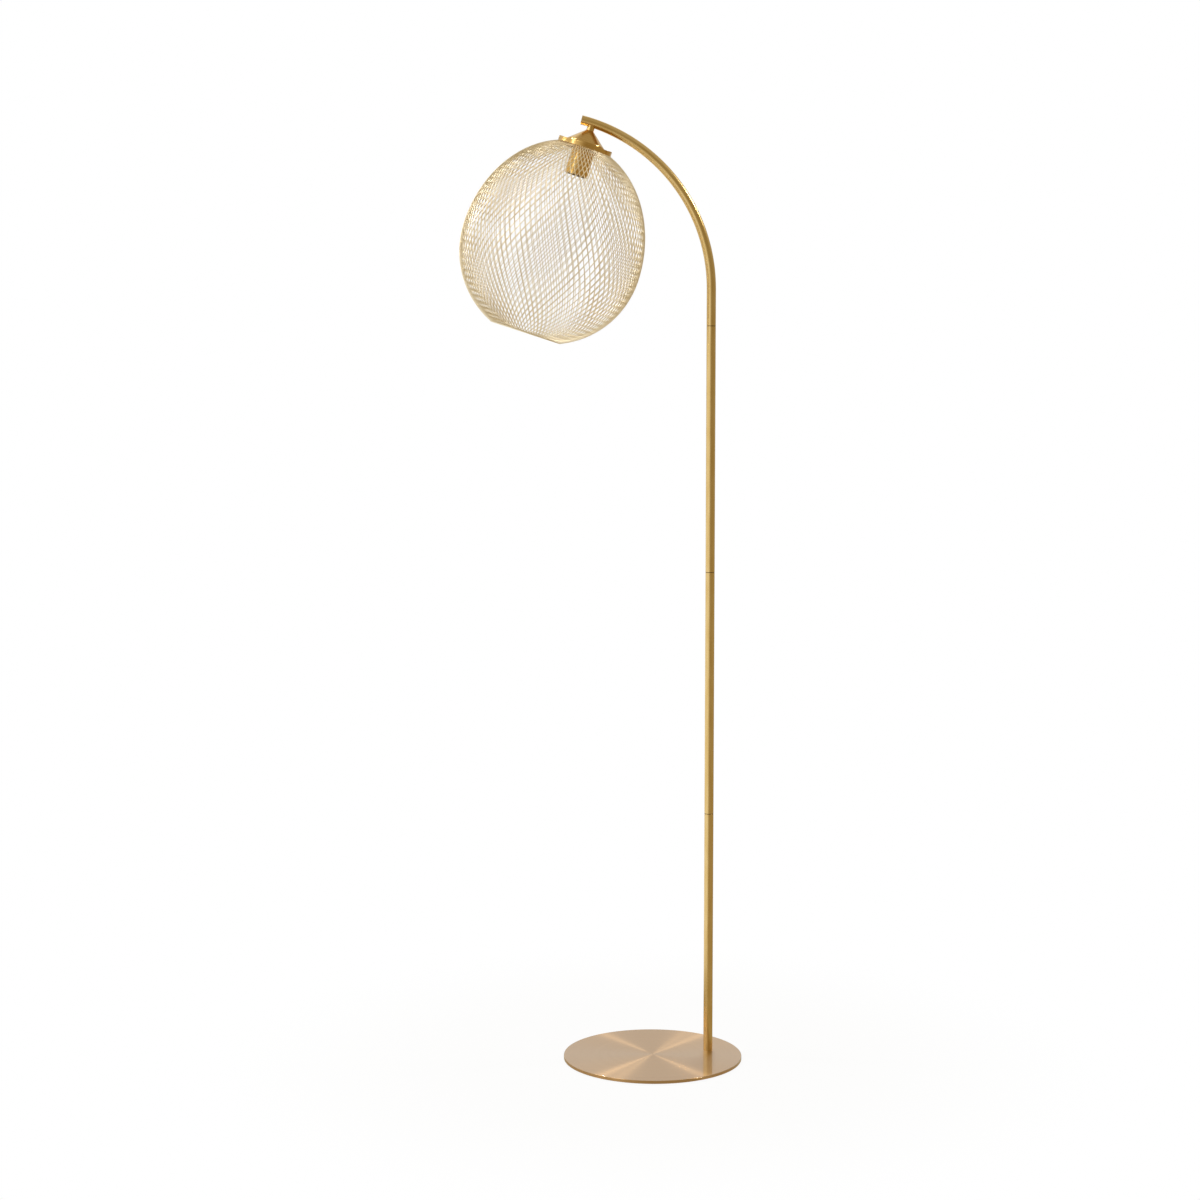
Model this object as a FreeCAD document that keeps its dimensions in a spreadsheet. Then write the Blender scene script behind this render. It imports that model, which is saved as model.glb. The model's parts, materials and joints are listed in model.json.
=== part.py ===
"""Wire cage floor lamp: round base, three-piece pole, bent arm and a tilted wire globe.

Millimetres, +Z up. The origin is the centre of the base's underside, on the floor. The arm bends
towards -X in the XZ plane. The head hangs from the arm on its own axis, square to the bent tube.
"""

import FreeCAD, Part
import math
import os
import re

import Sketcher
from FreeCAD import Placement, Rotation, Vector

NODE_FOLDER = "parts"

doc = FreeCAD.newDocument("wire_cage_floor_lamp")


# ---------------------------------------------------------------- driving dimensions

sizes = doc.addObject("Spreadsheet::Sheet", "Sizes")
places = doc.addObject("Spreadsheet::Sheet", "Places")


sheet_of = {}


def cell(words):
    """An expression in which each alias is written with the sheet that holds it."""
    return re.sub(r"[a-z_]+", lambda word: sheet_of.get(word[0], "") + word[0], words)


def fill(sheet, rows):
    """Write each (alias, content, note) on a row of its own."""
    for row, (alias, content, note) in enumerate(rows, start=1):
        sheet.set(f"A{row}", alias)
        sheet.set(f"B{row}", cell(str(content)))
        sheet.setAlias(f"B{row}", alias)
        sheet.set(f"C{row}", note)
        sheet_of[alias] = f"{sheet.Name}."


fill(sizes, [
    ("base_diameter", 294, "round steel base plate"),
    ("base_thickness", 5, "its thickness"),
    ("base_edge", 0.6, "round on its upper edge"),
    ("pad_thickness", 1.2, "foam pad under the plate"),
    ("pad_inset", 4, "how far the pad stays inside the plate's edge"),
    ("pole_offset", 96, "from the base's centre to the pole's axis"),
    ("pole_bearing", 15, "degrees from +X to the pole, seen from above"),
    ("tube_diameter", 15, "outside of every tube"),
    ("tube_wall", 1, "wall of every tube"),
    ("tube_chamfer", 0.4, "chamfer on the tubes' ends, which shows as a fine groove at each joint"),
    ("section_length", 400, "each of the three straight sections"),
    ("arm_straight", 59, "straight foot of the bent tube"),
    ("bend_radius", 278, "of the bent tube's centre line"),
    ("bend_angle", 75.6, "degrees that the tube bends"),
    ("neck_angle", 72, "degrees along the bend to the head's axis"),
    ("thread_diameter", 10, "pipe thread of the joints and of the head's nipple"),
    ("thread_gap", 0.05, "radial gap in every screwed or pushed-in fit"),
    ("cable_bore", 7, "way for the cable through the studs and the nipple"),
    ("insert_length", 20, "threaded insert in the top of each section"),
    ("stud_length", 16, "plug of each joint stud, in the tube above"),
    ("stud_reach", 14, "thread of each joint stud, in the insert below"),
    ("foot_length", 22, "solid plug in the pole's foot"),
    ("bolt_diameter", 8, "countersunk bolt that holds the pole to the base"),
    ("bolt_head", 15, "its head"),
    ("bolt_sink", 0.4, "how far its head lies inside the plate"),
    ("bolt_reach", 14, "its thread inside the foot"),
    ("bolt_key", 5, "hexagon key across its flats"),
    ("bolt_clearance", 0.3, "radial gap round the bolt in the plate"),
    ("outlet_height", 34, "cable outlet's axis above the plate"),
    ("outlet_hole", 9, "hole in the tube for the cable grommet"),
    ("outlet_bore", 6.4, "bore of the grommet"),
    ("grommet_flange", 12, "outside of the grommet's flange"),
    ("grommet_lip", 1.6, "thickness of that flange"),
    ("plug_depth", 3, "how far the arm's end plug goes in"),
    ("plug_face", 0.8, "thickness of the plug's face"),
    ("boss_wall", 0.95, "wall of the threaded boss under the arm"),
    ("boss_rise", 0.7, "how far it reaches up past the edge of its side hole in the tube"),
    ("canopy_top", 11.5, "canopy's upper end, from the tube's axis"),
    ("canopy_height", 25, "height of the canopy"),
    ("collar_wall", 1.15, "wall of its threaded collar"),
    ("collar_height", 1.5, "height of that collar"),
    ("canopy_shoulder", 57, "its diameter where the cone ends and the rounded brim begins"),
    ("canopy_brim_height", 4.6, "height of the brim"),
    ("canopy_brim_round", 3.5, "radius of the brim"),
    ("canopy_foot_height", 1.5, "straight part of the brim, on the disc"),
    ("canopy_base", 61, "its diameter at the foot"),
    ("sheet", 0.9, "sheet of the canopy and the sleeve"),
    ("disc_diameter", 89, "fitter disc"),
    ("disc_depth", 7, "depth of its skirt"),
    ("disc_sheet", 1.2, "its sheet"),
    ("lock_nut_height", 3, "hexagon nut that clamps disc and canopy"),
    ("lock_nut_key", 14, "that nut across its flats"),
    ("sleeve_room", 0.5, "radial gap between the brass sleeve's mouth and the bulb holder"),
    ("sleeve_taper", 0.8, "how much its radius grows from mouth to top"),
    ("sleeve_overhang", 1.4, "how far it reaches past the holder"),
    ("sleeve_round", 2.7, "round on its shoulder"),
    ("holder_length", 44, "bulb holder"),
    ("holder_wall", 2.1, "its wall"),
    ("holder_cap_height", 14.5, "its upper half"),
    ("holder_roof", 5.5, "thickness of the cap's threaded roof"),
    ("holder_lip", 1.3, "inward lip at its mouth"),
    ("holder_joint", 4, "screwed joint between its halves"),
    ("block_height", 6, "contact block"),
    ("lamp_thread", 26.6, "inside of the screw shell, for an E27 bulb cap"),
    ("shell_sheet", 0.5, "sheet of the screw shell"),
    ("shell_room", 1.1, "radial gap between the shell's thread and the holder's wall"),
    ("contact_width", 4, "sprung centre contact"),
    ("contact_sheet", 0.4, "its sheet"),
    ("contact_rise", 3.2, "how far its tongue stands off the block"),
    ("contact_tongue", 7, "length of its tongue, and of its foot"),
    ("terminal_diameter", 3, "two terminal screws in the contact block"),
    ("terminal_head", 5.5, "their heads"),
    ("terminal_head_height", 1.8, "height of the heads"),
    ("terminal_room", 1, "between the heads and the cap's wall"),
    ("nipple_top", 5, "upper end of the hollow threaded nipple, from the tube's axis"),
    ("nipple_reach", 3.9, "how far it stands out of the cap's roof"),
    ("globe_diameter", 294, "wire globe, over the middle of the wire layers"),
    ("globe_rise", 180.3, "half axis of its upper half"),
    ("ring_step", 1.5, "how far the top ring stands out from under the disc"),
    ("globe_mouth", 117, "its diameter at the mouth"),
    ("wire_diameter", 1.2, "each wire of the globe"),
    ("weld_sink", 0.1, "how deep crossing wires are welded into each other"),
    ("wires_per_layer", 90, "wires in each of the two layers"),
    ("wire_lean", 26, "degrees between a wire and the upright at the widest place"),
    ("wire_runs", 20, "short straight runs that make up a wire"),
    ("top_ring_width", 14, "flat top ring, from its hole to its edge"),
    ("top_ring_sheet", 1.5, "its sheet"),
    ("mouth_wire", 3, "wire of the mouth ring"),
    ("screw_diameter", 4, "two screws that carry the globe"),
    ("screw_inset", 4, "from the disc's edge to the axes of the screws"),
    ("screw_head", 7.2, "their heads"),
    ("screw_head_height", 1.7, "height of the heads"),
    ("screw_end_room", 0.3, "how far a screw's tip lies inside its nut"),
    ("screw_clearance", 0.15, "radial gap round the screws in ring and disc"),
    ("nut_diameter", 7.5, "low round nuts on top of the disc"),
    ("nut_height", 2.2, "how far they stand up"),
    ("nut_round", 0.6, "round on their top edge"),
    ("nut_seat_gap", 0.02, "gap below them, so that they turn freely"),
])

# Heights are from the floor. Depths are measured down the head's axis from the tube's axis.
fill(places, [
    ("pole_x", "=pole_offset * cos(pole_bearing * 1deg)", "pole's axis"),
    ("pole_y", "=pole_offset * sin(pole_bearing * 1deg)", "pole's axis"),
    ("plate_top", "=pad_thickness + base_thickness", "top of the base"),
    ("joint_one", "=plate_top + section_length", "top of the lower section"),
    ("joint_two", "=joint_one + section_length", "top of the middle section"),
    ("joint_three", "=joint_two + section_length", "top of the upper section"),
    ("bend_start", "=joint_three + arm_straight", "where the arm's bend begins"),
    ("tip_across", "=-bend_radius * (1 - cos(bend_angle * 1deg))", "arm's end from the pole"),
    ("tip_height", "=bend_start + bend_radius * sin(bend_angle * 1deg)", "arm's end"),
    ("neck_x", "=pole_x - bend_radius * (1 - cos(neck_angle * 1deg))", "head's origin"),
    ("neck_height", "=bend_start + bend_radius * sin(neck_angle * 1deg)", "head's origin"),
    ("head_lean", "=90 - neck_angle", "degrees that the head leans"),
    ("screw_offset", "=disc_diameter / 2 - screw_inset", "head's axis to a screw"),
    ("screw_across", "=screw_offset * cos(head_lean * 1deg)", "head's axis to a screw, in X"),
    ("screw_up", "=screw_offset * sin(head_lean * 1deg)", "the same, in Z"),
    ("outlet_level", "=plate_top + outlet_height", "cable outlet's axis"),
    ("tube_radius", "=tube_diameter / 2", "outside"),
    ("tube_hollow", "=tube_radius - tube_wall", "radius of the tube's hollow"),
    ("plug_radius", "=tube_hollow - thread_gap", "what is pushed into a tube"),
    ("thread_radius", "=thread_diameter / 2", "male pipe thread"),
    ("tapped_radius", "=thread_radius + thread_gap", "female pipe thread"),
    ("boss_radius", "=tapped_radius + boss_wall", "outside of the boss"),
    ("boss_top", "=sqrt(tube_radius^2 - boss_radius^2) - boss_rise", "depth of the boss's upper end"),
    ("collar_radius", "=tapped_radius + collar_wall", "outside of the canopy's collar"),
    ("disc_top", "=canopy_top + canopy_height", "depth"),
    ("disc_bottom", "=disc_top + disc_depth", "depth, where the top ring begins"),
    ("disc_underside", "=disc_top + disc_sheet", "depth"),
    ("sleeve_start", "=disc_underside + lock_nut_height", "depth"),
    ("holder_start", "=sleeve_start + sheet", "depth"),
    ("shell_radius", "=lamp_thread / 2 + shell_sheet", "outside of the screw shell"),
    ("holder_hollow", "=shell_radius + shell_room", "radius of the holder's hollow"),
    ("holder_radius", "=holder_hollow + holder_wall", "outside of the holder"),
    ("cap_hollow", "=holder_hollow - thread_gap - holder_wall", "radius inside its cap"),
    ("terminal_offset", "=cap_hollow - terminal_room - terminal_head / 2",
     "head's axis to a terminal"),
    ("sleeve_mouth", "=holder_radius + sleeve_room + sheet", "outside radius at the mouth"),
    ("sleeve_top", "=sleeve_mouth + sleeve_taper", "outside radius at the top"),
    ("holder_split", "=holder_start + holder_cap_height", "depth, cap to body"),
    ("block_start", "=holder_split + holder_joint", "depth"),
    ("shell_start", "=block_start + block_height", "depth"),
    ("thread_start", "=shell_start + contact_rise + shell_sheet",
     "depth, where the screw shell narrows from its foot to the lamp's thread"),
    ("holder_end", "=holder_start + holder_length", "depth"),
    ("shell_end", "=holder_end - holder_lip", "depth"),
    ("sleeve_end", "=holder_end + sleeve_overhang", "depth"),
    ("ring_bottom", "=disc_bottom + top_ring_sheet", "depth"),
    ("ring_middle", "=disc_bottom + top_ring_sheet / 2", "depth, where the wires begin"),
    ("neck_radius", "=disc_diameter / 2 + ring_step", "of the globe at the top ring"),
    ("globe_radius", "=globe_diameter / 2", "at the widest place"),
    ("widest_depth", "=ring_middle + globe_rise * sqrt(1 - (neck_radius / globe_radius)^2)",
     "depth of the widest place"),
    ("mouth_depth", "=widest_depth + sqrt(globe_radius^2 - (globe_mouth / 2)^2)",
     "depth of the mouth ring"),
    ("layer_step", "=(wire_diameter - weld_sink) / 2", "each wire layer from the middle"),
])
doc.recompute()


def size(alias):
    """A driving dimension or a worked-out place as a plain number."""
    held = sizes if sheet_of[alias] == "Sizes." else places
    return float(held.get(alias))


def value_of(words):
    """The value of an expression of aliases."""
    found = sizes.evalExpression(cell(words))
    return float(getattr(found, "Value", found))


# ---------------------------------------------------------------- frames and building blocks

# A frame is where a sub-part stands: expressions for x, y, z and for its turn about +Y.
# Pieces of the head are drawn with the tube's axis at height 0 and the head's axis along -Z.
POLE = ("pole_x", "pole_y", "0", "0")
TIP = ("pole_x + tip_across", "pole_y", "tip_height", "-bend_angle")
HEAD = ("neck_x", "pole_y", "neck_height", "head_lean")
LEFT_SCREW = ("neck_x - screw_across", "pole_y", "neck_height + screw_up", "head_lean")
RIGHT_SCREW = ("neck_x + screw_across", "pole_y", "neck_height - screw_up", "head_lean")

sub_parts = []


def stand(thing, frame):
    """Bind a Placement to a frame."""
    x, y, height, lean = frame
    thing.Placement = Placement(Vector(), Rotation(Vector(0, 1, 0), 1))
    thing.setExpression("Placement.Base.x", cell(x))
    thing.setExpression("Placement.Base.y", cell(y))
    thing.setExpression("Placement.Base.z", cell(height))
    thing.setExpression("Placement.Rotation.Angle", cell(f"({lean}) * 1deg"))
    return thing


def finish(thing, label, frame=None):
    """Name a finished sub-part, stand it in its frame and put it on the list for export."""
    if frame:
        stand(thing, frame)
    thing.Label = label
    sub_parts.append(thing)


def bar(name, radius, bottom, top):
    """A cylinder about Z between two heights."""
    made = doc.addObject("Part::Cylinder", name)
    made.setExpression("Radius", cell(radius))
    made.setExpression("Height", cell(f"({top}) - ({bottom})"))
    made.setExpression("Placement.Base.z", cell(bottom))
    return made


def hexagon(name, across_flats, bottom, top):
    """A hexagonal bar about Z between two heights."""
    made = doc.addObject("Part::Prism", name)
    made.Polygon = 6
    made.setExpression("Circumradius", cell(f"{across_flats} / 2 / cos(30deg)"))
    made.setExpression("Height", cell(f"({top}) - ({bottom})"))
    made.setExpression("Placement.Base.z", cell(bottom))
    return made


def cross_bar(name, radius, length, height):
    """A cylinder along +Y from the Z axis, at a height."""
    made = doc.addObject("Part::Cylinder", name)
    made.Placement = Placement(Vector(), Rotation(Vector(1, 0, 0), -90))
    made.setExpression("Radius", cell(radius))
    made.setExpression("Height", cell(length))
    made.setExpression("Placement.Base.z", cell(height))
    return made


def cut(name, solid, tool):
    """One solid less another."""
    made = doc.addObject("Part::Cut", name)
    made.Base = solid
    made.Tool = tool
    return made


def pipe(name, outer, inner, bottom, top):
    """A hollow cylinder about Z."""
    outside = bar(f"{name}_outside", outer, bottom, top)
    hollow = bar(f"{name}_hollow", inner, bottom, top)
    return cut(f"{name}_pipe", outside, hollow)


def chamfered(name, tube, height, way):
    """A tube about Z without the outer edge of the end at a height. The tube lies above that end
    where way is an empty text, and below it where way is a minus sign."""
    ring = lathe(f"{name}_chamfer", [
        ("tube_radius - tube_chamfer", height),
        ("tube_radius + tube_chamfer", height),
        ("tube_radius + tube_chamfer", f"{height} + {way}2 * tube_chamfer"),
    ])
    return cut(f"{name}_chamfered", tube, ring)


def sketch_on(body, name, role):
    """A sketch on one of its body's origin planes."""
    drawn = body.newObject("Sketcher::SketchObject", name)
    plane = next(f for f in body.Origin.OriginFeatures if f.Role == role)
    drawn.AttachmentSupport = [(plane, "")]
    drawn.MapMode = "FlatFace"
    return drawn


def bound(sketch, constraint, words):
    """Add a constraint whose value is an expression of aliases."""
    index = sketch.addConstraint(constraint)
    sketch.setExpression(f"Constraints[{index}]", cell(words))


def pin(sketch, edge, end, across, up):
    """Fix one end of an edge by its two distances from the origin."""
    for kind, words in (("DistanceX", across), ("DistanceY", up)):
        bound(sketch, Sketcher.Constraint(kind, -1, 1, edge, end, value_of(words)), words)


def arc_between(start, end, radius, side):
    """The shorter arc from start to end. side is 1 if its centre lies to the left of the way."""
    chord = end - start
    square = Vector(-chord.y, chord.x, 0).normalize()
    reach = math.sqrt(max(radius ** 2 - (chord.Length / 2) ** 2, 0))
    centre = (start + end) / 2 + square * side * reach
    first, last = (start, end) if side > 0 else (end, start)
    begin = math.atan2(first.y - centre.y, first.x - centre.x)
    stop = math.atan2(last.y - centre.y, last.x - centre.x)
    if stop < begin:
        stop += 2 * math.pi
    return Part.ArcOfCircle(Part.Circle(centre, Vector(0, 0, 1), radius), begin, stop)


def outline(sketch, corners):
    """Draw a closed outline. A corner is (across, up), or (across, up, radius, side) where an arc
    of that radius leads to the next corner. All but the side are expressions."""
    spots = [Vector(value_of(corner[0]), value_of(corner[1]), 0) for corner in corners]
    for number, corner in enumerate(corners):
        after = (number + 1) % len(corners)
        first, last = 1, 2
        if len(corner) == 2:
            edge = sketch.addGeometry(Part.LineSegment(spots[number], spots[after]), False)
        else:
            radius, side = corner[2:]
            arc = arc_between(spots[number], spots[after], value_of(radius), side)
            edge = sketch.addGeometry(arc, False)
            if side < 0:
                first, last = 2, 1
            bound(sketch, Sketcher.Constraint("Radius", edge, value_of(radius)), radius)
        pin(sketch, edge, first, *corner[:2])
        pin(sketch, edge, last, *corners[after][:2])


def lathe(name, corners):
    """A body turned about Z from an outline of (radius, height) corners."""
    body = doc.addObject("PartDesign::Body", name)
    drawn = sketch_on(body, f"{name}_outline", "XZ_Plane")
    outline(drawn, corners)
    turned = body.newObject("PartDesign::Revolution", f"{name}_turned")
    turned.Profile = drawn
    turned.ReferenceAxis = (drawn, ["V_Axis"])
    turned.Angle = 360
    return body


# ---------------------------------------------------------------- base

def make_base():
    """Steel plate on a foam pad, with the countersunk bolt that goes up into the pole's foot."""
    plate = lathe("plate_disc", [
        ("0", "pad_thickness"),
        ("base_diameter / 2", "pad_thickness"),
        ("base_diameter / 2", "plate_top - base_edge", "base_edge", 1),
        ("base_diameter / 2 - base_edge", "plate_top"),
        ("0", "plate_top"),
    ])
    head_rise = "(bolt_head - bolt_diameter) / 2"
    seat = lathe("bolt_seat", [
        ("0", "0"),
        ("bolt_head / 2 + bolt_clearance", "0"),
        ("bolt_head / 2 + bolt_clearance", "pad_thickness + bolt_sink"),
        ("bolt_diameter / 2 + bolt_clearance", f"pad_thickness + bolt_sink + {head_rise}"),
        ("bolt_diameter / 2 + bolt_clearance", "plate_top + base_thickness"),
        ("0", "plate_top + base_thickness"),
    ])
    finish(cut("plate_with_seat", plate, stand(seat, POLE)), "base_plate")

    pad = bar("pad_disc", "base_diameter / 2 - pad_inset", "0", "pad_thickness")
    way = lathe("pad_way", [
        ("0", "-pad_thickness"),
        ("bolt_head / 2 + pad_inset", "-pad_thickness"),
        ("bolt_head / 2 + pad_inset", "2 * pad_thickness"),
        ("0", "2 * pad_thickness"),
    ])
    finish(cut("pad_with_way", pad, stand(way, POLE)), "base_pad")

    head_bottom = "pad_thickness + bolt_sink"
    head_top = f"{head_bottom} + {head_rise}"
    blank = lathe("bolt_blank", [
        ("0", head_bottom),
        ("bolt_head / 2", head_bottom),
        ("bolt_diameter / 2", head_top),
        ("bolt_diameter / 2", "plate_top + bolt_reach"),
        ("0", "plate_top + bolt_reach"),
    ])
    key = hexagon("bolt_key_way", "bolt_key", "0", head_top)
    finish(cut("bolt_with_key_way", blank, key), "foot_bolt", POLE)

    foot = lathe("foot_body", [
        ("bolt_diameter / 2 + thread_gap", "plate_top"),
        ("plug_radius", "plate_top"),
        ("plug_radius", "plate_top + foot_length"),
        ("0", "plate_top + foot_length"),
        ("0", "plate_top + bolt_reach + thread_gap"),
        ("bolt_diameter / 2 + thread_gap", "plate_top + bolt_reach + thread_gap"),
    ])
    finish(foot, "foot_plug", POLE)


# ---------------------------------------------------------------- pole

def make_pole():
    """Three straight tubes with a screwed joint at the top of each."""
    lower = pipe("lower_tube", "tube_radius", "tube_hollow", "plate_top", "joint_one")
    hole = cross_bar("outlet_way", "outlet_hole / 2", "tube_diameter", "outlet_level")
    drilled = cut("lower_tube_with_outlet", lower, hole)
    finish(chamfered("lower_top", drilled, "joint_one", "-"), "pole_section_lower", POLE)
    for name, bottom, top in (("middle", "joint_one", "joint_two"),
                              ("upper", "joint_two", "joint_three")):
        tube = pipe(f"{name}_tube", "tube_radius", "tube_hollow", bottom, top)
        tube = chamfered(f"{name}_bottom", tube, bottom, "")
        finish(chamfered(f"{name}_top", tube, top, "-"), f"pole_section_{name}", POLE)

    for name, joint in (("lower", "joint_one"), ("middle", "joint_two"),
                        ("upper", "joint_three")):
        insert = pipe(f"{name}_insert", "plug_radius", "tapped_radius",
                      f"{joint} - insert_length", joint)
        finish(insert, f"joint_insert_{name}", POLE)
        stud = lathe(f"{name}_stud", [
            ("cable_bore / 2", f"{joint} - stud_reach"),
            ("thread_radius", f"{joint} - stud_reach"),
            ("thread_radius", joint),
            ("plug_radius", joint),
            ("plug_radius", f"{joint} + stud_length"),
            ("cable_bore / 2", f"{joint} + stud_length"),
        ])
        finish(stud, f"joint_stud_{name}", POLE)


def make_grommet():
    """A flanged bush in the back of the lower section, its flange saddled on the round tube."""
    barrel = cross_bar("grommet_barrel", "outlet_hole / 2 - thread_gap",
                       "tube_radius + grommet_lip", "outlet_level")
    flange = cross_bar("grommet_rim", "grommet_flange / 2",
                       "tube_radius + grommet_lip", "outlet_level")
    saddle = bar("grommet_saddle", "tube_radius", "plate_top", "plate_top + 2 * outlet_height")
    hollow = bar("grommet_end", "tube_hollow - tube_wall", "plate_top",
                 "plate_top + 2 * outlet_height")
    bore = cross_bar("grommet_bore", "outlet_bore / 2", "tube_diameter", "outlet_level")
    blank = doc.addObject("Part::MultiFuse", "grommet_blank")
    blank.Shapes = [cut("grommet_seated_rim", flange, saddle),
                    cut("grommet_short_barrel", barrel, hollow)]
    finish(cut("grommet", blank, bore), "cable_grommet", POLE)


# ---------------------------------------------------------------- arm

def make_arm():
    """The bent tube, swept along a line and an arc, with a side hole for the boss."""
    body = doc.addObject("PartDesign::Body", "arm_body")
    route = sketch_on(body, "arm_route", "XZ_Plane")
    foot = Vector(0, size("joint_three"), 0)
    bend = Vector(0, size("bend_start"), 0)
    radius = size("bend_radius")
    circle = Part.Circle(bend - Vector(radius, 0, 0), Vector(0, 0, 1), radius)
    bent = Part.ArcOfCircle(circle, 0, math.radians(size("bend_angle")))
    straight = route.addGeometry(Part.LineSegment(foot, bend), False)
    curved = route.addGeometry(bent, False)
    pin(route, straight, 1, "0", "joint_three")
    pin(route, straight, 2, "0", "bend_start")
    pin(route, curved, 1, "0", "bend_start")
    pin(route, curved, 2, "tip_across", "tip_height")
    bound(route, Sketcher.Constraint("Radius", curved, radius), "bend_radius")

    section = sketch_on(body, "arm_section", "XY_Plane")
    section.AttachmentOffset = Placement(Vector(0, 0, size("joint_three")), Rotation())
    section.setExpression("AttachmentOffset.Base.z", cell("joint_three"))
    for words in ("tube_radius", "tube_hollow"):
        ring = section.addGeometry(Part.Circle(Vector(), Vector(0, 0, 1), size(words)), False)
        section.addConstraint(Sketcher.Constraint("Coincident", ring, 3, -1, 1))
        bound(section, Sketcher.Constraint("Radius", ring, size(words)), words)

    swept = body.newObject("PartDesign::AdditivePipe", "arm_sweep")
    swept.Profile = section
    swept.Spine = (route, ["Edge1", "Edge2"])
    way = lathe("boss_way", [
        ("0", "-tube_diameter"),
        ("boss_radius + thread_gap", "-tube_diameter"),
        ("boss_radius + thread_gap", "0"),
        ("0", "0"),
    ])
    tube = stand(chamfered("arm_foot", body, "joint_three", ""), POLE)
    drilled = cut("arm_with_boss_way", tube, stand(way, HEAD))
    finish(drilled, "arm_tube")

    plug = lathe("tip_plug", [
        ("0", "-plug_depth"),
        ("plug_radius", "-plug_depth"),
        ("plug_radius", "0"),
        ("tube_radius", "0"),
        ("tube_radius", "plug_face"),
        ("0", "plug_face"),
    ])
    finish(plug, "arm_end_plug", TIP)


# ---------------------------------------------------------------- head

def make_neck():
    """Boss welded in the arm's side hole, and the hollow threaded nipple that all the head
    hangs from."""
    boss = pipe("boss", "boss_radius", "tapped_radius", "-canopy_top", "-boss_top")
    finish(boss, "neck_boss", HEAD)
    nipple = pipe("nipple", "thread_radius", "cable_bore / 2",
                  "-holder_start - holder_roof - nipple_reach", "-nipple_top")
    finish(nipple, "threaded_nipple", HEAD)
    nut = cut("nut_with_thread",
              hexagon("nut_blank", "lock_nut_key", "-sleeve_start", "-disc_underside"),
              bar("nut_thread", "tapped_radius", "-sleeve_start", "-disc_underside"))
    finish(nut, "lock_nut", HEAD)


def make_canopy():
    """Spun cone with a threaded collar on top and a rounded brim that stands on the disc."""
    shoulder = "-disc_top + canopy_brim_height"
    foot = "-disc_top + canopy_foot_height"
    canopy = lathe("canopy_body", [
        ("tapped_radius", "-canopy_top"),
        ("collar_radius", "-canopy_top"),
        ("collar_radius", "-canopy_top - collar_height"),
        ("canopy_shoulder / 2", shoulder, "canopy_brim_round", -1),
        ("canopy_base / 2", foot),
        ("canopy_base / 2", "-disc_top"),
        ("canopy_base / 2 - sheet", "-disc_top"),
        ("canopy_base / 2 - sheet", foot, "canopy_brim_round - sheet", 1),
        ("canopy_shoulder / 2 - 0.7 * sheet", f"{shoulder} - 0.7 * sheet"),
        ("tapped_radius", "-canopy_top - collar_height - 2 * sheet"),
    ])
    finish(canopy, "canopy", HEAD)


def make_fitter_disc():
    """Shallow lid whose skirt rests on the globe's top ring."""
    disc = lathe("disc_body", [
        ("tapped_radius", "-disc_top"),
        ("disc_diameter / 2", "-disc_top"),
        ("disc_diameter / 2", "-disc_bottom"),
        ("disc_diameter / 2 - disc_sheet", "-disc_bottom"),
        ("disc_diameter / 2 - disc_sheet", "-disc_underside"),
        ("tapped_radius", "-disc_underside"),
    ])
    finish(drilled_for_screws(disc, "disc"), "fitter_disc", HEAD)


def drilled_for_screws(solid, name):
    """Cut the two screw holes, drawn in the head's frame."""
    ways = doc.addObject("Part::MultiFuse", f"{name}_screw_ways")
    bars = []
    for side, sign in (("left", "-"), ("right", "")):
        way = bar(f"{name}_way_{side}", "screw_diameter / 2 + screw_clearance",
                  "-ring_bottom - disc_depth", "-disc_top + disc_depth")
        way.setExpression("Placement.Base.x", cell(f"{sign}screw_offset"))
        bars.append(way)
    ways.Shapes = bars
    return cut(f"{name}_drilled", solid, ways)


def make_sleeve():
    """Brass cup that hides the bulb holder, open below."""
    sleeve = lathe("sleeve_body", [
        ("tapped_radius", "-sleeve_start"),
        ("sleeve_top - sleeve_round", "-sleeve_start", "sleeve_round", -1),
        ("sleeve_top", "-sleeve_start - sleeve_round"),
        ("sleeve_mouth", "-sleeve_end"),
        ("sleeve_mouth - sheet", "-sleeve_end"),
        ("sleeve_top - sheet", "-sleeve_start - sleeve_round", "sleeve_round - sheet", 1),
        ("sleeve_top - sleeve_round", "-holder_start"),
        ("tapped_radius", "-holder_start"),
    ])
    finish(sleeve, "socket_sleeve", HEAD)


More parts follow.
